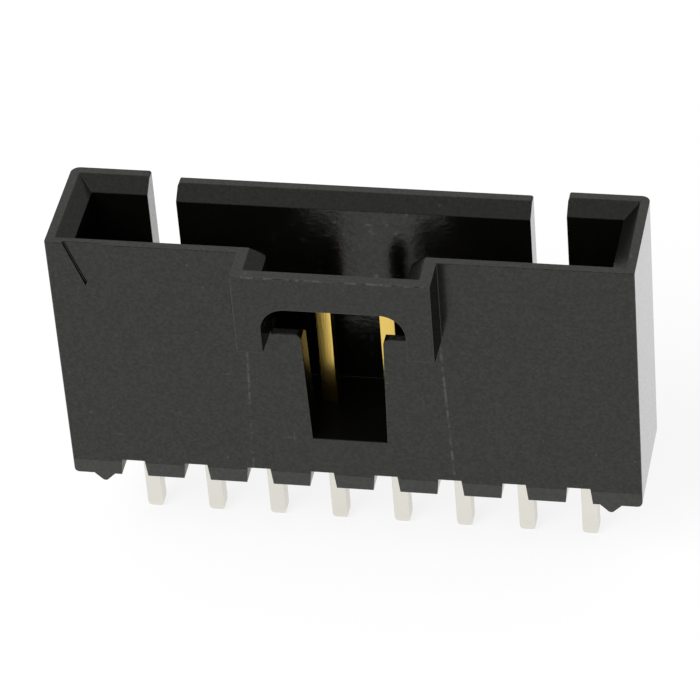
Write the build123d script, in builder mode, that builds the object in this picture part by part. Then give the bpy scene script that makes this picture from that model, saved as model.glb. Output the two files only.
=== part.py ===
# Shrouded single-row pin header: eight square pins at 2.54 mm pitch in a moulded housing that
# stands on a circuit board. A plug comes down from +Z, into the cavity and over the pins.
# The row runs along X, pin 1 at the -X end, and the keyed front wall is on the -Y side.
# The origin is on the row's centre, level with the undersides of the housing's feet.
# All sizes are in millimetres.

import os
from math import atan2, cos, degrees, radians, sin, tan

from build123d import *

os.makedirs("parts", exist_ok=True)

# Row of pins
pin_count = 8
pitch = 2.54
pin_width = 0.64
pin_corner_radius = 0.04
mating_tip_height = 8.35
mating_nose_length = 0.7
tail_length = 3.68
tail_nose_length = 0.3
nose_inset = 0.16
nose_steps = 4
nose_sweep = 75.0

# Barb that holds each pin in the floor, widest near its upper end
barb_height = 1.1
barb_lead = 0.8
barb_bulge = 0.07

# Housing envelope
front_depth = 2.705
rear_depth = 2.225
end_margin = 2.48
housing_height = 11.38
front_corner_radius = 0.08
rear_corner_radius = 0.35
wall = 0.95
cavity_floor = 2.45
lead_in_width = 0.6
lead_in_height = 0.49

# Key housing on the front wall, with its pocket, the bar across it and the window below
key_width = 7.72
key_depth = 1.52
key_wall = 1.06
key_corner_radius = 0.1
key_root_height = 7.68
key_underside_rise = 0.12
pocket_corner_radius = 0.65
bar_height = 1.47
arch_corner_radius = 1.0
shoulder_height = 7.56
window_centre = -0.04
window_sill_width = 2.97
window_draft = 1.5
window_corner_radius = 0.25

# Slots in the rear wall and the lower panel between them
left_slot_centre = -7.645
left_slot_width = 1.11
right_slot_centre = 7.535
right_slot_width = 1.41
slot_depth = 6.4
slot_corner_radius = 0.2
slot_mouth_radius = 0.1
rear_panel_drop = 0.245

# Underside
notch_height = 0.75
notch_width = 0.91
notch_draft = 6.0
foot_corner_radius = 0.22
rib_width = 0.85
rib_height = 0.42
rib_inset = 1.24
rib_tip_radius = 0.16

# Engraved triangle beside pin 1
mark_width = 1.5
mark_height = 2.0
mark_inset = 1.45
mark_depth = 0.12

# Sizes that follow from the ones above
row_length = (pin_count - 1) * pitch
half_length = row_length / 2 + end_margin
front_y = -front_depth
rear_y = rear_depth
body_depth = front_depth + rear_depth
cavity_front_y = front_y + wall
cavity_rear_y = rear_y - wall
cavity_half_length = half_length - wall
key_half_width = key_width / 2
key_front_y = front_y - key_depth
pocket_front_y = key_front_y + key_wall
pocket_half_width = key_half_width - key_wall
bar_underside = housing_height - bar_height
window_height = shoulder_height - cavity_floor
window_top_width = window_sill_width + 2 * window_height * tan(radians(window_draft))
half_pin = pin_width / 2
barb_bottom = (notch_height + cavity_floor - barb_height) / 2


def rectangle(x_min, x_max, y_min, y_max):
    """Draw a rectangle between two corners in the open sketch."""
    with Locations(((x_min + x_max) / 2, (y_min + y_max) / 2)):
        Rectangle(x_max - x_min, y_max - y_min)


def pin_section(height, width):
    """Draw the square wire's section, with its rolled corners, at one height."""
    with BuildSketch(Plane.XY.offset(height)) as section:
        RectangleRounded(width, width, pin_corner_radius)
    return section.sketch


def add_nose(shank_end, tip):
    """Round the wire off between the end of its straight shank and its tip."""
    sections = []
    for step in range(nose_steps + 1):
        angle = radians(nose_sweep) * step / nose_steps
        along = sin(angle) / sin(radians(nose_sweep))
        inward = (1 - cos(angle)) / (1 - cos(radians(nose_sweep)))
        height = shank_end + (tip - shank_end) * along
        sections.append(pin_section(height, pin_width - 2 * nose_inset * inward))
    loft(sections, ruled=True)


# One pin on the origin: square wire with a rounded nose at both ends, and the barb
shank_top = mating_tip_height - mating_nose_length
shank_bottom = tail_nose_length - tail_length

with BuildPart() as pin:
    extrude(pin_section(shank_bottom, pin_width), amount=shank_top - shank_bottom)
    add_nose(shank_top, mating_tip_height)
    add_nose(shank_bottom, -tail_length)
    with BuildSketch(Plane.XZ.offset(-half_pin + pin_corner_radius)):
        with BuildLine():
            Polyline(
                (0, barb_bottom),
                (half_pin, barb_bottom),
                (half_pin + barb_bulge, barb_bottom + barb_lead),
                (half_pin, barb_bottom + barb_height),
                (0, barb_bottom + barb_height),
                close=True,
            )
        make_face()
        mirror(about=Plane.YZ)
    extrude(amount=pin_width - 2 * pin_corner_radius)

with BuildPart() as housing:
    # Outer block, its upright corners and its lower ends rounded
    with BuildSketch():
        rectangle(-half_length, half_length, front_y, rear_y)
    extrude(amount=housing_height)
    fillet(housing.edges().filter_by(Axis.Z).group_by(Axis.Y)[0], front_corner_radius)
    fillet(housing.edges().filter_by(Axis.Z).group_by(Axis.Y)[-1], rear_corner_radius)
    with BuildSketch(Plane.XZ.offset(-rear_y)) as outline:
        rectangle(-half_length, half_length, 0, housing_height)
        fillet(outline.vertices().group_by(Axis.Y)[0], foot_corner_radius)
    extrude(amount=body_depth, mode=Mode.INTERSECT)

    # Key housing: a box on the front wall, flush with the rim, its underside rising forward
    with BuildSketch(Plane.XY.offset(key_root_height)) as key_plan:
        rectangle(-key_half_width, key_half_width, key_front_y, cavity_front_y)
        fillet(key_plan.vertices().group_by(Axis.Y)[0], key_corner_radius)
    extrude(amount=housing_height - key_root_height)
    with BuildSketch(Plane.YZ.offset(-key_half_width)):
        with BuildLine():
            Polyline(
                (front_y, key_root_height),
                (key_front_y, key_root_height),
                (key_front_y, key_root_height + key_underside_rise),
                close=True,
            )
        make_face()
    extrude(amount=key_width, mode=Mode.SUBTRACT)

    # Cavity for the plug, down to the floor that holds the pins
    with BuildSketch(Plane.XY.offset(cavity_floor)):
        rectangle(-cavity_half_length, cavity_half_length, cavity_front_y, cavity_rear_y)
    extrude(amount=housing_height - cavity_floor, mode=Mode.SUBTRACT)

    # Key pocket, open to the cavity and open below, with the mouth's lead-in around both
    with BuildSketch(Plane.XY.offset(shoulder_height)) as mouth:
        rectangle(-cavity_half_length, cavity_half_length, cavity_front_y, cavity_rear_y)
        rectangle(-pocket_half_width, pocket_half_width, pocket_front_y, cavity_front_y)
        pocket_roots = mouth.vertices().filter_by_position(
            Axis.X, -pocket_half_width, pocket_half_width
        ).group_by(Axis.Y)[-1]
        fillet(pocket_roots, pocket_corner_radius)
    extrude(amount=housing_height - shoulder_height, mode=Mode.SUBTRACT)
    rim_start = Location((0, 0, housing_height - lead_in_height - shoulder_height))
    extrude(
        mouth.sketch.moved(rim_start),
        amount=lead_in_height,
        taper=-degrees(atan2(lead_in_width, lead_in_height)),
        mode=Mode.SUBTRACT,
    )

    # The same lead-in along the top of the front wall inside the pocket
    with BuildSketch(Plane.YZ.offset(-pocket_half_width)):
        with BuildLine():
            Polyline(
                (cavity_front_y - lead_in_width, shoulder_height),
                (cavity_front_y, shoulder_height),
                (cavity_front_y, shoulder_height - lead_in_height),
                close=True,
            )
        make_face()
    extrude(amount=2 * pocket_half_width, mode=Mode.SUBTRACT)

    # Front opening: arch under the bar, shoulders, and the narrow window down to the floor
    with BuildSketch(Plane.XZ.offset(-cavity_front_y)) as opening:
        rectangle(-pocket_half_width, pocket_half_width, shoulder_height, bar_underside)
        fillet(opening.vertices().group_by(Axis.Y)[-1], arch_corner_radius)
        with Locations((window_centre, cavity_floor)):
            Trapezoid(
                window_top_width,
                window_height,
                90 + window_draft,
                align=(Align.CENTER, Align.MIN),
            )
        shoulders = opening.vertices().filter_by_position(
            Axis.X, window_centre - window_top_width / 2, window_centre + window_top_width / 2
        ).group_by(Axis.Y)[-1]
        fillet(shoulders, window_corner_radius)
    extrude(amount=cavity_front_y - key_front_y, mode=Mode.SUBTRACT)

    # Two slots of different width through the rear wall
    slot_bottom = housing_height - slot_depth
    with BuildSketch(Plane.XZ.offset(-rear_y)) as slots:
        with Locations((left_slot_centre, slot_bottom)):
            Rectangle(left_slot_width, slot_depth, align=(Align.CENTER, Align.MIN))
        with Locations((right_slot_centre, slot_bottom)):
            Rectangle(right_slot_width, slot_depth, align=(Align.CENTER, Align.MIN))
        fillet(slots.vertices().group_by(Axis.Y)[0], slot_corner_radius)
    extrude(amount=wall, mode=Mode.SUBTRACT)

    # The panel between them stands lower, with the same rim section as the rest
    panel_start = left_slot_centre
    panel_length = right_slot_centre - left_slot_centre
    panel_top = housing_height - rear_panel_drop
    with BuildSketch(Plane.YZ.offset(panel_start)):
        with BuildLine():
            Polyline(
                (rear_y, housing_height),
                (rear_y, panel_top),
                (cavity_rear_y + lead_in_width, panel_top),
                (cavity_rear_y, panel_top - lead_in_height),
                (cavity_rear_y, housing_height),
                close=True,
            )
        make_face()
    extrude(amount=panel_length, mode=Mode.SUBTRACT)
    slot_mouths = housing.edges().filter_by(Axis.Y).filter_by_position(
        Axis.Z, panel_top, housing_height
    )
    fillet(slot_mouths.filter_by(lambda edge: edge.length < wall), slot_mouth_radius)

    # Tapered notches across the underside, one over each pin's solder joint
    with BuildSketch(Plane.XZ.offset(-rear_y)):
        notch_mouth = notch_width + 2 * notch_height * tan(radians(notch_draft))
        with GridLocations(pitch, 0, pin_count, 1):
            Trapezoid(
                notch_mouth, notch_height, 90 - notch_draft, align=(Align.CENTER, Align.MIN)
            )
    extrude(amount=body_depth, mode=Mode.SUBTRACT)

    # Small ribs under the two end feet
    with BuildSketch(Plane.XZ.offset(-rear_y)) as ribs:
        with GridLocations(2 * (half_length - rib_inset), 0, 2, 1):
            Polygon((-rib_width / 2, 0), (0, -rib_height), (rib_width / 2, 0), align=None)
        fillet(ribs.vertices().group_by(Axis.Y)[0], rib_tip_radius)
    extrude(amount=body_depth)

    # Triangle at the pin 1 end of the front face
    with BuildSketch(Plane.XZ.offset(-front_y)):
        with Locations((mark_inset - half_length, housing_height)):
            Polygon((-mark_width / 2, 0), (0, -mark_height), (mark_width / 2, 0), align=None)
    extrude(amount=-mark_depth, mode=Mode.SUBTRACT)

    # Holes that the pins are pressed into
    with GridLocations(pitch, 0, pin_count, 1):
        add(pin.part, mode=Mode.SUBTRACT)

housing.part.label = "housing"
export_step(housing.part, "parts/housing.step")

for number in range(1, pin_count + 1):
    with BuildPart() as contact:
        with Locations(((number - 1) * pitch - row_length / 2, 0)):
            add(pin.part)
    contact.part.label = f"pin_{number}"
    export_step(contact.part, f"parts/pin_{number}.step")
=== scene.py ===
"""Dresses the single-row pin header: moulded plastic, plated pins, a pale studio and the camera."""
import math

import bpy
from mathutils import Matrix, Vector


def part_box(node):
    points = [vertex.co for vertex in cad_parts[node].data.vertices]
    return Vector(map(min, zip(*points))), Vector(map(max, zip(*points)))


bl_info = {
    "name": "Pin Header Dressing",
    "version": (1, 0, 0),
    "blender": (4, 5, 0),
    "location": "View3D > Sidebar > Header",
    "description": "Finishes of a shrouded pin header, with its studio and camera",
    "category": "Object",
}

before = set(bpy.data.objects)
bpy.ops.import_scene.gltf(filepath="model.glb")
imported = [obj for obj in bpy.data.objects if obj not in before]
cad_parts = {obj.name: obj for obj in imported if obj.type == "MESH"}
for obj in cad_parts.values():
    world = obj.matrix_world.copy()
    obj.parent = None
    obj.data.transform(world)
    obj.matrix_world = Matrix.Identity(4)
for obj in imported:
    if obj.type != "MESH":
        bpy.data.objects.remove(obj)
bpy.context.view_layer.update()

MM = 0.001
HOUSING = "housing"
PINS = sorted(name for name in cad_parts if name.startswith("pin_"))
HOUSING_LOW, HOUSING_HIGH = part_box(HOUSING)
PIN_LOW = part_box(PINS[0])[0]

# Mould marks on the front wall: witness lines beside the key, which close in with height, and a
# step across the feet
WALL_FACE = -2.705 * MM
SEAM_HALF_SPREAD = 4.046 * MM
SEAM_SLOPE = 0.035
SEAM_SHARE = 0.75
KEY_UNDERSIDE = 7.6 * MM
FOOT_STEP = 0.63 * MM
FOOT_SHARE = 0.3
STEP_WIDTH = 0.05 * MM
STEP_HEIGHT = 0.012 * MM
LINE_WIDTH = 0.08 * MM
PATCH_SIZE = 0.5 * MM

# Scrapes on the rear wall's inner face
REAR_FACE = 1.275 * MM
SCRAPE_SIZE = 0.45 * MM
SCRAPE_MIDDLE = 0.5 * MM
SCRAPE_REACH = 5.5 * MM
SCRAPE_DEPTH = 0.018 * MM
SCRAPE_SHARE = 0.8

# Slight backward fall of the arch's shoulders
SHOULDER_HEIGHT = 7.56 * MM
SHOULDER_FALL = math.tan(math.radians(3.5))

# How much darker surfaces show in each other's mirror image, and the colour they turn to
MIRROR_DIMMING = 0.65
DIMMED_COLOUR = (0.001, 0.001, 0.001, 1.0)

# Drawn lines along the pins: noise cells per metre across them, stretch along them and depth
DRAWN_LINES = 12000.0
DRAWN_STRETCH = 0.06
DRAWN_DEPTH = 0.002 * MM

# Brightness of the mirrored world by direction, as parts of a unit vector: where the dark room
# behind the camera ends, where the back grows brighter, and the band above the horizon
ROOM_END = (-0.8, -0.3)
BACK_RISE = (-0.1, 0.8)
BACK_GAIN = 0.16
HORIZON_BAND = (0.28, 0.55)

# Short scuffs on the front wall: middle across, middle height, half length and half height.
# The last one is a burr at the corner above pin 8, with its glint painted on as a lighter patch
SCUFF_AND_GLINT_SHARE = 0.9
SCUFFS_AND_GLINT = [
    (-2.38 * MM, 2.43 * MM, 0.45 * MM, 0.05 * MM),
    (-2.26 * MM, 2.43 * MM, 0.05 * MM, 0.37 * MM),
    (1.62 * MM, 5.45 * MM, 0.14 * MM, 0.05 * MM),
    (-6.35 * MM, 5.1 * MM, 0.09 * MM, 0.05 * MM),
    (5.6 * MM, 3.3 * MM, 0.16 * MM, 0.04 * MM),
    (11.05 * MM, 11.12 * MM, 0.3 * MM, 0.12 * MM),
]


class HeaderPlastic(bpy.types.PropertyGroup):
    """Finish of the moulded housing."""

    colour: bpy.props.FloatVectorProperty(
        name="Colour",
        description="Body colour of the black plastic",
        subtype="COLOR",
        size=3,
        min=0.0,
        max=1.0,
        default=(0.0022, 0.0022, 0.0018),
    )
    edge_colour: bpy.props.FloatVectorProperty(
        name="Edge colour",
        description="Colour that the sharp edges tend to",
        subtype="COLOR",
        size=3,
        min=0.0,
        max=1.0,
        default=(0.02, 0.02, 0.017),
    )
    # Also the colour of the painted highlights along the key's top front edge and on the burr above
    # pin 8
    mark_and_highlight_colour: bpy.props.FloatVectorProperty(
        name="Mark colour",
        description="Colour that mould marks, scuffs and scrapes tend to",
        subtype="COLOR",
        size=3,
        min=0.0,
        max=1.0,
        default=(0.03, 0.03, 0.026),
    )
    tint: bpy.props.FloatVectorProperty(
        name="Tint",
        description="Colour of the reflections, slightly olive",
        subtype="COLOR",
        size=3,
        min=0.0,
        max=1.0,
        default=(0.985, 1.0, 0.93),
    )
    refraction: bpy.props.FloatProperty(
        name="Refraction",
        description="Index of refraction, which sets how bright the reflections are",
        default=1.435,
    )
    roughness: bpy.props.FloatProperty(
        name="Roughness",
        description="Gloss of the mould texture, from 0 for polished to 1 for matt",
        subtype="FACTOR",
        min=0.0,
        max=1.0,
        default=0.17,
    )
    clouding: bpy.props.FloatProperty(
        name="Clouding",
        description="How much rougher the duller patches are",
        subtype="FACTOR",
        min=0.0,
        max=1.0,
        default=0.06,
    )
    mark_roughness: bpy.props.FloatProperty(
        name="Mark roughness",
        description="Gloss of the lighter flecks and marks",
        subtype="FACTOR",
        min=0.0,
        max=1.0,
        default=0.2,
    )
    grain_size: bpy.props.FloatProperty(
        name="Grain size",
        description="Spacing of the fine mould texture",
        subtype="DISTANCE",
        unit="LENGTH",
        default=0.00012,
    )
    grain_depth: bpy.props.FloatProperty(
        name="Grain depth",
        description="Depth of the fine mould texture",
        subtype="DISTANCE",
        unit="LENGTH",
        default=0.0000016,
    )
    mottle: bpy.props.FloatProperty(
        name="Mottle",
        description="Uneven gloss of the mould texture",
        subtype="FACTOR",
        min=0.0,
        max=1.0,
        default=0.3,
    )
    edge_radius: bpy.props.FloatProperty(
        name="Edge radius",
        description="Rounding that the mould leaves on the sharp edges",
        subtype="DISTANCE",
        unit="LENGTH",
        default=0.00005,
    )


class HeaderPlating(bpy.types.PropertyGroup):
    """Finish of the pins."""

    gold: bpy.props.FloatVectorProperty(
        name="Gold",
        description="Colour of the plating on the mating end",
        subtype="COLOR",
        size=3,
        min=0.0,
        max=1.0,
        default=(0.78, 0.55, 0.14),
    )
    tin: bpy.props.FloatVectorProperty(
        name="Tin",
        description="Colour of the matt plating on the solder tail",
        subtype="COLOR",
        size=3,
        min=0.0,
        max=1.0,
        default=(0.83, 0.81, 0.745),
    )
    twist: bpy.props.FloatProperty(
        name="Twist",
        description="Turn of the pins' front faces, as it shows in reflections",
        subtype="ANGLE",
        default=math.radians(1.7),
    )
    gold_roughness: bpy.props.FloatProperty(
        name="Gold roughness",
        description="Gloss of the gold, from 0 for polished to 1 for matt",
        subtype="FACTOR",
        min=0.0,
        max=1.0,
        default=0.18,
    )
    tin_roughness: bpy.props.FloatProperty(
        name="Tin roughness",
        description="Gloss of the tin, from 0 for polished to 1 for matt",
        subtype="FACTOR",
        min=0.0,
        max=1.0,
        default=0.42,
    )
    change_height: bpy.props.FloatProperty(
        name="Plating change",
        description="Height above the board where the tin ends and the gold starts",
        subtype="DISTANCE",
        unit="LENGTH",
        default=0.0016,
    )


class HeaderStudio(bpy.types.PropertyGroup):
    """Camera and light."""

    azimuth: bpy.props.FloatProperty(
        name="Azimuth",
        description="Camera's bearing, from straight in front towards the pin 8 end",
        subtype="ANGLE",
        default=math.radians(13.141),
    )
    elevation: bpy.props.FloatProperty(
        name="Elevation",
        description="Camera's height above the horizon",
        subtype="ANGLE",
        default=math.radians(37.955),
    )
    roll: bpy.props.FloatProperty(
        name="Roll",
        description="Camera's tilt about its own axis",
        subtype="ANGLE",
        default=math.radians(-4.848),
    )
    distance: bpy.props.FloatProperty(
        name="Distance",
        description="From the camera to the point that it looks at",
        subtype="DISTANCE",
        unit="LENGTH",
        default=0.176467,
    )
    aim: bpy.props.FloatVectorProperty(
        name="Aim",
        description="Point at the middle of the picture",
        subtype="TRANSLATION",
        unit="LENGTH",
        size=3,
        precision=6,
        default=(-0.000372, 0.0, 0.004807),
    )
    lens: bpy.props.FloatProperty(
        name="Lens",
        description="Focal length on a 36 mm sensor, in millimetres",
        default=231.794,
    )
    key_power: bpy.props.FloatProperty(
        name="Key light",
        description="Strength of the large soft light in front on the left",
        default=1.1,
    )
    key_azimuth: bpy.props.FloatProperty(
        name="Key azimuth",
        description="Key light's bearing, from straight in front towards the pin 8 end",
        subtype="ANGLE",
        default=math.radians(-35.0),
    )
    key_elevation: bpy.props.FloatProperty(
        name="Key elevation",
        description="Key light's height above the horizon",
        subtype="ANGLE",
        default=math.radians(40.0),
    )
    key_distance: bpy.props.FloatProperty(
        name="Key distance",
        description="From the key light to the point that it looks at",
        subtype="DISTANCE",
        unit="LENGTH",
        default=0.35,
    )
    key_size: bpy.props.FloatProperty(
        name="Key size",
        description="Side of the square key light",
        subtype="DISTANCE",
        unit="LENGTH",
        default=0.25,
    )
    fill_power: bpy.props.FloatProperty(
        name="World light",
        description="Strength of the even light from all around",
        default=0.85,
    )
    overhead: bpy.props.FloatProperty(
        name="Overhead",
        description="Brightness straight above, as it shows in reflections",
        default=0.72,
    )
    horizon: bpy.props.FloatProperty(
        name="Horizon",
        description="Brightness just above the floor's far edge, as a share of the sky above it",
        default=0.3,
    )
    camera_side: bpy.props.FloatProperty(
        name="Camera side",
        description="Brightness of the dark room behind the camera, as it shows in reflections",
        default=0.04,
    )
    floor_size: bpy.props.FloatProperty(
        name="Floor size",
        description="Side of the square floor",
        subtype="DISTANCE",
        unit="LENGTH",
        default=1.2,
    )
    floor_grey: bpy.props.FloatProperty(
        name="Floor grey",
        description="Brightness of the floor's own colour",
        subtype="FACTOR",
        min=0.0,
        max=1.0,
        default=0.88,
    )
    floor_glow: bpy.props.FloatProperty(
        name="Floor glow",
        description="Share of plain white in the floor as the camera and reflections see it",
        subtype="FACTOR",
        min=0.0,
        max=1.0,
        default=0.8,
    )


class NodeBuilder:
    """Adds nodes to one tree, left to right, and links them."""

    def __init__(self, tree):
        self.tree = tree
        self.count = 0

    def add(self, kind, settings=None, **inputs):
        """Add a node. An input is a value, or a socket to link; a name's _ stands for a space."""
        node = self.tree.nodes.new(kind)
        node.location = (self.count * 190 - 900, -(self.count % 4) * 150)
        self.count += 1
        for name, value in (settings or {}).items():
            setattr(node, name, value)
        for name, value in inputs.items():
            self.set(node, name.replace("_", " "), value)
        return node

    def set(self, node, key, value):
        """Set or link one input, chosen by its name or its number."""
        socket = node.inputs[key]
        if isinstance(value, bpy.types.NodeSocket):
            self.tree.links.new(value, socket)
        else:
            socket.default_value = value

    def maths(self, operation, first, second=0.0, clamp=False):
        """Add a Math node and return its result."""
        node = self.add("ShaderNodeMath", {"operation": operation, "use_clamp": clamp})
        self.set(node, 0, first)
        self.set(node, 1, second)
        return node.outputs[0]

    def ramp(self, value, low, high, to_low=0.0, to_high=1.0, smooth=True):
        """Map a value from one range to another, clamped."""
        node = self.add(
            "ShaderNodeMapRange",
            {"interpolation_type": "SMOOTHSTEP" if smooth else "LINEAR", "clamp": True},
        )
        self.set(node, "Value", value)
        self.set(node, "From Min", low)
        self.set(node, "From Max", high)
        self.set(node, "To Min", to_low)
        self.set(node, "To Max", to_high)
        return node.outputs["Result"]

    def band(self, value, centre, half_width):
        """Mask of a narrow band: 1 at its centre, 0 from half its width away."""
        away = self.maths("ABSOLUTE", self.maths("SUBTRACT", value, centre))
        return self.ramp(away, half_width, 0.0)

    def product(self, first, *others):
        """Multiply masks and numbers."""
        for other in others:
            first = self.maths("MULTIPLY", first, other)
        return first

    def mix(self, factor, first, second):
        """Mix two colours and return the result."""
        node = self.add("ShaderNodeMix", {"data_type": "RGBA"})
        self.set(node, 0, factor)
        self.set(node, 6, first)
        self.set(node, 7, second)
        return node.outputs[2]

    def noise(self, vector, scale, detail=2.0, roughness=0.5):
        """Add a noise texture and return its value."""
        node = self.add("ShaderNodeTexNoise", Vector=vector, Scale=scale, Detail=detail,
                        Roughness=roughness)
        return node.outputs["Fac"]


def new_group(name, inputs, outputs):
    """Make a shader node group with named float, colour or vector sockets."""
    tree = bpy.data.node_groups.new(name, "ShaderNodeTree")
    kinds = {"float": "NodeSocketFloat", "colour": "NodeSocketColor", "vector": "NodeSocketVector"}
    for label, kind, value in inputs:
        socket = tree.interface.new_socket(label, in_out="INPUT", socket_type=kinds[kind])
        if value is not None:
            socket.default_value = value
    for label, kind in outputs:
        tree.interface.new_socket(label, in_out="OUTPUT", socket_type=kinds[kind])
    build = NodeBuilder(tree)
    return build, build.add("NodeGroupInput"), build.add("NodeGroupOutput")


def edge_group():
    """Rounded look of sharp edges: a softened normal and a mask that is 1 on the edge."""
    name = "Moulded edge"
    if name in bpy.data.node_groups:
        return bpy.data.node_groups[name]
    build, given, result = new_group(
        name, [("Radius", "float", 0.0001)], [("Normal", "vector"), ("Edge", "float")]
    )
    bevel = build.add("ShaderNodeBevel", {"samples": 8}, Radius=given.outputs["Radius"])
    surface = build.add("ShaderNodeNewGeometry")
    dot = build.add("ShaderNodeVectorMath", {"operation": "DOT_PRODUCT"})
    build.set(dot, 0, bevel.outputs[0])
    build.set(dot, 1, surface.outputs["Normal"])
    edge = build.ramp(dot.outputs["Value"], 1.0, 0.8)
    build.set(result, "Normal", bevel.outputs[0])
    build.set(result, "Edge", edge)
    return build.tree


def fleck_group():
    """Scattered light flecks, such as dust and scuffs: a mask from a noise above a threshold."""
    name = "Flecks"
    if name in bpy.data.node_groups:
        return bpy.data.node_groups[name]
    build, given, result = new_group(
        name,
        [("Size", "float", 0.0003), ("Amount", "float", 0.3)],
        [("Mask", "float"), ("Clouds", "float")],
    )
    place = build.add("ShaderNodeTexCoord").outputs["Object"]
    scale = build.maths("DIVIDE", 1.0, given.outputs["Size"])
    fine = build.noise(place, scale, detail=3.0, roughness=0.65)
    threshold = build.maths("SUBTRACT", 0.78, build.maths("MULTIPLY", given.outputs["Amount"], 0.2))
    mask = build.ramp(fine, threshold, build.maths("ADD", threshold, 0.08))
    wide = build.noise(place, build.maths("MULTIPLY", scale, 0.12), detail=4.0, roughness=0.6)
    build.set(result, "Mask", mask)
    build.set(result, "Clouds", wide)
    return build.tree


def place_group(build, tree, **inputs):
    """Place a node group in a material with its own values."""
    node = build.add("ShaderNodeGroup")
    node.node_tree = tree
    for name, value in inputs.items():
        build.set(node, name, value)
    return node


def new_material(name):
    """Make an empty node material and return it with its builder and output."""
    material = bpy.data.materials.new(name)
    material.use_nodes = True
    material.node_tree.nodes.clear()
    build = NodeBuilder(material.node_tree)
    return material, build, build.add("ShaderNodeOutputMaterial")


def dimmed(build, shader):
    """Let a surface show darker in another surface's mirror image than it does directly."""
    dull = build.add("ShaderNodeBsdfDiffuse")
    dull.inputs["Color"].default_value = DIMMED_COLOUR
    again = build.add("ShaderNodeLightPath").outputs["Is Glossy Ray"]
    mixed = build.add("ShaderNodeMixShader")
    build.set(mixed, 0, build.maths("MULTIPLY", again, MIRROR_DIMMING))
    build.set(mixed, 1, shader.outputs[0])
    build.set(mixed, 2, dull.outputs[0])
    return mixed.outputs[0]


def marks_and_painted_highlights(build, place):
    """Faint lines left by the mould, scuffs, scrapes, and painted highlights along the key's top
    front edge and on the burr above pin 8: a mask of lighter lines, and a height for small steps.
    """
    axes = build.add("ShaderNodeSeparateXYZ", Vector=place)
    across, depth, height = axes.outputs["X"], axes.outputs["Y"], axes.outputs["Z"]
    broken = build.ramp(build.noise(place, 1.0 / PATCH_SIZE, detail=3.0, roughness=0.7), 0.42, 0.62)
    surface = build.add("ShaderNodeNewGeometry").outputs["Normal"]
    faces = build.add("ShaderNodeSeparateXYZ", Vector=surface)
    to_front = build.ramp(faces.outputs["Y"], -0.9, -0.96)
    on_wall = build.product(build.band(depth, WALL_FACE, LINE_WIDTH), to_front)
    below_key = build.ramp(height, KEY_UNDERSIDE, KEY_UNDERSIDE - LINE_WIDTH)
    spread = build.maths("ADD", build.maths("ABSOLUTE", across), build.product(height, SEAM_SLOPE))
    seam = build.band(spread, SEAM_HALF_SPREAD, LINE_WIDTH)
    sides = build.product(on_wall, below_key, seam, broken, SEAM_SHARE)
    # Painted highlight: broken light specks along the key's top front edge, where its rounding
    # catches the light
    painted_rim_highlight = build.product(
        build.band(height, HOUSING_HIGH.z, LINE_WIDTH), build.band(depth, HOUSING_LOW.y, LINE_WIDTH),
        broken,
    )
    foot = build.ramp(height, FOOT_STEP + STEP_WIDTH, FOOT_STEP)
    lighter = build.maths("ADD", sides, painted_rim_highlight)
    lighter = build.maths("ADD", lighter, build.product(foot, on_wall, FOOT_SHARE))
    # Scuffs, and the painted glint of the burr above pin 8
    for middle, level, half_length, half_height in SCUFFS_AND_GLINT:
        scuff_and_glint = build.product(
            on_wall, build.band(across, middle, half_length), build.band(height, level, half_height),
            broken, SCUFF_AND_GLINT_SHARE,
        )
        lighter = build.maths("ADD", lighter, scuff_and_glint)
    on_shoulder = build.product(
        build.band(height, SHOULDER_HEIGHT, LINE_WIDTH), build.ramp(faces.outputs["Z"], 0.9, 0.96)
    )
    slope = build.product(build.maths("SUBTRACT", WALL_FACE, depth), on_shoulder, SHOULDER_FALL)
    relief = build.maths("ADD", slope, build.product(foot, on_wall, STEP_HEIGHT))
    drawn = build.add("ShaderNodeMapping", Vector=place)
    drawn.inputs["Scale"].default_value = (1.0, 1.0, 1.6)
    scraped = build.noise(drawn.outputs[0], 1.0 / SCRAPE_SIZE, detail=4.0, roughness=0.65)
    on_rear = build.product(build.band(depth, REAR_FACE, LINE_WIDTH), to_front)
    worn = build.band(across, SCRAPE_MIDDLE, SCRAPE_REACH)
    specks = build.product(on_rear, worn, build.ramp(scraped, 0.6, 0.68), SCRAPE_SHARE)
    lighter = build.maths("ADD", lighter, specks)
    return lighter, build.maths("ADD", relief, build.product(on_rear, scraped, SCRAPE_DEPTH))


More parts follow.
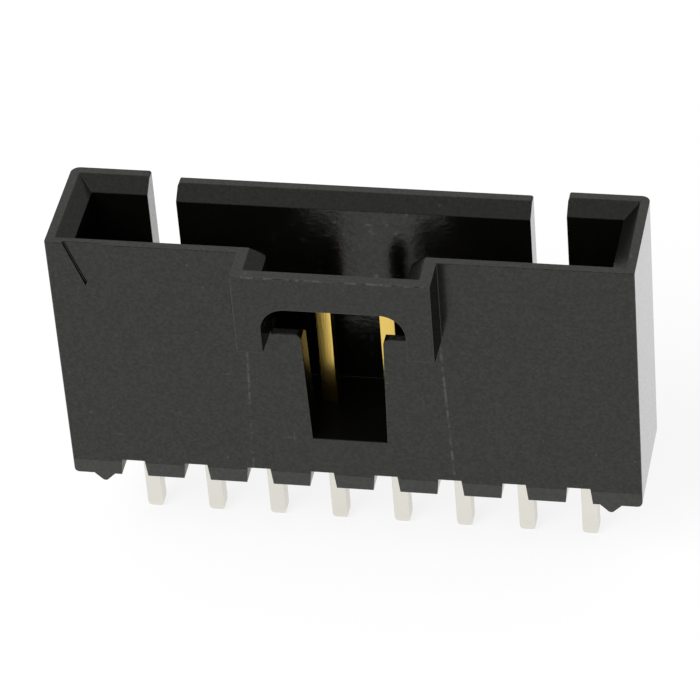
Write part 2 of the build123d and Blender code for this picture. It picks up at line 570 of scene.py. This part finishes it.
def plastic_material(finish):
    """Black glass-filled plastic with a fine mould texture."""
    material, build, output = new_material("Moulded black plastic")
    edges = place_group(build, edge_group(), Radius=finish.edge_radius)
    flecks = place_group(build, fleck_group(), Size=0.00035, Amount=0.5)
    place = build.add("ShaderNodeTexCoord").outputs["Object"]
    lighter, step = marks_and_painted_highlights(build, place)
    mottle = build.noise(place, 1.0 / finish.grain_size, detail=3.0, roughness=0.6)
    tone = build.mix(build.maths("MULTIPLY", edges.outputs["Edge"], 0.4),
                     (*finish.colour, 1.0), (*finish.edge_colour, 1.0))
    # Lighter mould marks, scuffs and scrapes, with painted highlights along the key's top front edge
    # and on the burr above pin 8
    marks_and_highlight = build.maths("MULTIPLY", lighter, 0.45, clamp=True)
    tone = build.mix(marks_and_highlight, tone, (*finish.mark_and_highlight_colour, 1.0))
    rough = build.ramp(
        flecks.outputs["Clouds"], 0.3, 0.75, finish.roughness, finish.roughness + finish.clouding
    )
    facing = build.add("ShaderNodeLayerWeight", Blend=0.5).outputs["Facing"]
    rough = build.maths("MULTIPLY", rough, build.ramp(facing, 0.6, 0.9, 1.0, 0.35))
    sheen = build.ramp(mottle, 0.3, 0.7, 0.0, finish.mottle)
    sheen = build.maths("ADD", sheen, build.maths("MULTIPLY", flecks.outputs["Mask"], 0.8))
    sheen = build.maths("ADD", sheen, build.ramp(facing, 0.7, 0.82, 0.0, 0.35))
    sheen = build.maths("ADD", sheen, lighter, clamp=True)
    relief = build.maths("ADD", step, build.maths("MULTIPLY", mottle, finish.grain_depth))
    bump = build.add("ShaderNodeBump", Height=relief, Normal=edges.outputs["Normal"])
    bump.inputs["Distance"].default_value = 1.0
    shader = build.add(
        "ShaderNodeBsdfPrincipled", Base_Color=tone, Roughness=rough, Normal=bump.outputs[0]
    )
    shader.inputs["IOR"].default_value = finish.refraction
    shader.inputs["Specular Tint"].default_value = (*finish.tint, 1.0)
    build.set(shader, "Coat Weight", sheen)
    shader.inputs["Coat Roughness"].default_value = finish.mark_roughness
    build.set(output, "Surface", dimmed(build, shader))
    return material


def plating_material(finish):
    """Gold over the mating end and matt tin over the solder tail."""
    material, build, output = new_material("Plated contact")
    edges = place_group(build, edge_group(), Radius=0.00004)
    flecks = place_group(build, fleck_group(), Size=0.0002, Amount=0.3)
    place = build.add("ShaderNodeTexCoord").outputs["Object"]
    axes = build.add("ShaderNodeSeparateXYZ", Vector=place)
    gold = build.ramp(
        axes.outputs["Z"], finish.change_height - 0.0001, finish.change_height + 0.0001
    )
    tone = build.mix(gold, (*finish.tin, 1.0), (*finish.gold, 1.0))
    rough = build.ramp(gold, 0.0, 1.0, finish.tin_roughness, finish.gold_roughness, smooth=False)
    drawn = build.add("ShaderNodeMapping", Vector=place)
    drawn.inputs["Scale"].default_value = (1.0, 1.0, DRAWN_STRETCH)
    lines = build.noise(drawn.outputs[0], DRAWN_LINES)
    depth = build.maths("MULTIPLY", lines, DRAWN_DEPTH)
    turn = build.maths("MULTIPLY", axes.outputs["X"], -math.tan(finish.twist))
    bump = build.add(
        "ShaderNodeBump", Height=build.maths("ADD", depth, turn), Normal=edges.outputs["Normal"]
    )
    bump.inputs["Distance"].default_value = 1.0
    rough = build.maths("ADD", rough, build.maths("MULTIPLY", flecks.outputs["Clouds"], 0.08))
    shader = build.add(
        "ShaderNodeBsdfPrincipled", Base_Color=tone, Roughness=rough, Normal=bump.outputs[0]
    )
    shader.inputs["Metallic"].default_value = 1.0
    build.set(output, "Surface", dimmed(build, shader))
    return material


def floor_material(studio):
    """White floor that shows plain white where nothing shades it, and keeps a soft shadow."""
    material, build, output = new_material("White floor")
    diffuse = build.add("ShaderNodeBsdfDiffuse")
    diffuse.inputs["Color"].default_value = (*(studio.floor_grey,) * 3, 1.0)
    glow = build.add("ShaderNodeEmission")
    glow.inputs["Color"].default_value = (1.0, 1.0, 1.0, 1.0)
    glow.inputs["Strength"].default_value = 1.0
    rays = build.add("ShaderNodeLightPath")
    seen = build.maths("MAXIMUM", rays.outputs["Is Camera Ray"], rays.outputs["Is Glossy Ray"])
    seen = build.maths("MAXIMUM", seen, rays.outputs["Is Transmission Ray"])
    share = build.maths("MULTIPLY", seen, studio.floor_glow)
    mixed = build.add("ShaderNodeMixShader")
    build.set(mixed, 0, share)
    build.set(mixed, 1, diffuse.outputs[0])
    build.set(mixed, 2, glow.outputs[0])
    build.set(output, "Surface", mixed.outputs[0])
    return material


def dress(name, material):
    """Give a CAD node its material."""
    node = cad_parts[name]
    node.data.materials.clear()
    node.data.materials.append(material)


def look_at(location, target, roll):
    """World matrix of a camera or lamp at a place, looking at a target, rolled about its axis."""
    back = (location - target).normalized()
    right = Vector((0.0, 0.0, 1.0)).cross(back).normalized()
    up = back.cross(right)
    turned = right * math.cos(roll) + up * math.sin(roll)
    rows = Matrix((turned, back.cross(turned), back)).transposed().to_4x4()
    return Matrix.Translation(location) @ rows


def from_bearing(target, azimuth, elevation, distance):
    """Point at a bearing and height from a target."""
    flat = math.cos(elevation) * distance
    return target + Vector(
        (math.sin(azimuth) * flat, -math.cos(azimuth) * flat, math.sin(elevation) * distance)
    )


def area_light(name, target, azimuth, elevation, distance, size, power):
    """Add a soft square light that looks at the target and shows in no reflection."""
    data = bpy.data.lights.new(name, "AREA")
    data.shape = "SQUARE"
    data.size = size
    data.energy = power
    lamp = bpy.data.objects.new(name, data)
    bpy.context.scene.collection.objects.link(lamp)
    place = from_bearing(target, azimuth, elevation, distance)
    lamp.matrix_world = look_at(place, target, 0.0)
    lamp.visible_glossy = False


class HEADER_OT_dress_housing(bpy.types.Operator):
    """Give the housing its moulded plastic"""

    bl_idname = "header.dress_housing"
    bl_label = "Dress Housing"

    def execute(self, context):
        material = plastic_material(context.scene.header_plastic)
        dress(HOUSING, material)
        return {"FINISHED"}


class HEADER_OT_dress_pins(bpy.types.Operator):
    """Give every pin its gold and tin plating"""

    bl_idname = "header.dress_pins"
    bl_label = "Dress Pins"

    def execute(self, context):
        material = plating_material(context.scene.header_plating)
        for name in PINS:
            dress(name, material)
        return {"FINISHED"}


class HEADER_OT_build_stage(bpy.types.Operator):
    """Make the floor, the lights, the world and the camera"""

    bl_idname = "header.build_stage"
    bl_label = "Build Stage"

    def execute(self, context):
        studio = context.scene.header_studio
        aim = Vector(studio.aim)
        half = studio.floor_size / 2
        floor_mesh = bpy.data.meshes.new("floor")
        corners = [(-half, -half), (half, -half), (half, half), (-half, half)]
        floor_mesh.from_pydata([(x, y, PIN_LOW.z) for x, y in corners], [], [(0, 1, 2, 3)])
        floor = bpy.data.objects.new("floor", floor_mesh)
        floor_mesh.materials.append(floor_material(studio))
        context.scene.collection.objects.link(floor)

        world = bpy.data.worlds.new("Studio")
        world.use_nodes = True
        world.node_tree.nodes.clear()
        build = NodeBuilder(world.node_tree)
        rays = build.add("ShaderNodeLightPath")
        direction = build.add("ShaderNodeTexCoord").outputs["Generated"]
        axes = build.add("ShaderNodeSeparateXYZ", Vector=direction)
        above = build.ramp(axes.outputs["Y"], *ROOM_END, studio.camera_side, studio.overhead)
        behind = build.ramp(axes.outputs["Y"], *BACK_RISE, 0.0, BACK_GAIN)
        above = build.maths("ADD", above, behind)
        low = build.ramp(axes.outputs["Z"], *HORIZON_BAND, studio.horizon, 1.0)
        mirrored = build.maths("MULTIPLY", above, low)
        plain = build.maths(
            "MAXIMUM", rays.outputs["Is Camera Ray"], rays.outputs["Is Transmission Ray"]
        )
        strength = build.ramp(plain, 0.0, 1.0, studio.fill_power, 1.0, smooth=False)
        choice = build.add("ShaderNodeMix", {"data_type": "FLOAT"})
        build.set(choice, 0, rays.outputs["Is Glossy Ray"])
        build.set(choice, 2, strength)
        build.set(choice, 3, mirrored)
        sky = build.add("ShaderNodeBackground", Strength=choice.outputs[0])
        sky.inputs["Color"].default_value = (1.0, 1.0, 1.0, 1.0)
        output = build.add("ShaderNodeOutputWorld", Surface=sky.outputs[0])
        context.scene.world = world

        area_light(
            "key", aim, studio.key_azimuth, studio.key_elevation, studio.key_distance,
            studio.key_size, studio.key_power,
        )

        camera_data = bpy.data.cameras.new("camera")
        camera_data.sensor_width = 36.0
        camera_data.lens = studio.lens
        camera_data.clip_start = 0.01
        camera_data.clip_end = 5.0
        camera = bpy.data.objects.new("camera", camera_data)
        context.scene.collection.objects.link(camera)
        place = from_bearing(aim, studio.azimuth, studio.elevation, studio.distance)
        camera.matrix_world = look_at(place, aim, studio.roll)
        context.scene.camera = camera
        context.scene.view_settings.view_transform = "Standard"
        return {"FINISHED"}


class HEADER_PT_dressing(bpy.types.Panel):
    """Lists the steps that dress the header"""

    bl_idname = "HEADER_PT_dressing"
    bl_label = "Pin Header"
    bl_space_type = "VIEW_3D"
    bl_region_type = "UI"
    bl_category = "Header"

    def draw(self, context):
        layout = self.layout
        for settings in ("header_plastic", "header_plating", "header_studio"):
            group = getattr(context.scene, settings)
            box = layout.box()
            for name in group.bl_rna.properties.keys():
                if name not in ("rna_type", "name"):
                    box.prop(group, name)
        for operator in STEPS:
            layout.operator(operator)


STEPS = ("header.dress_housing", "header.dress_pins", "header.build_stage")
CLASSES = (
    HeaderPlastic,
    HeaderPlating,
    HeaderStudio,
    HEADER_OT_dress_housing,
    HEADER_OT_dress_pins,
    HEADER_OT_build_stage,
    HEADER_PT_dressing,
)


def register():
    """Register the classes and hang the settings on the scene."""
    for cls in CLASSES:
        bpy.utils.register_class(cls)
    bpy.types.Scene.header_plastic = bpy.props.PointerProperty(type=HeaderPlastic)
    bpy.types.Scene.header_plating = bpy.props.PointerProperty(type=HeaderPlating)
    bpy.types.Scene.header_studio = bpy.props.PointerProperty(type=HeaderStudio)


def unregister():
    """Take the settings and the classes away again."""
    del bpy.types.Scene.header_studio
    del bpy.types.Scene.header_plating
    del bpy.types.Scene.header_plastic
    for cls in reversed(CLASSES):
        bpy.utils.unregister_class(cls)


def main():
    """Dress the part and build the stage."""
    register()
    bpy.ops.header.dress_housing()
    bpy.ops.header.dress_pins()
    bpy.ops.header.build_stage()


if __name__ == "__main__":
    main()
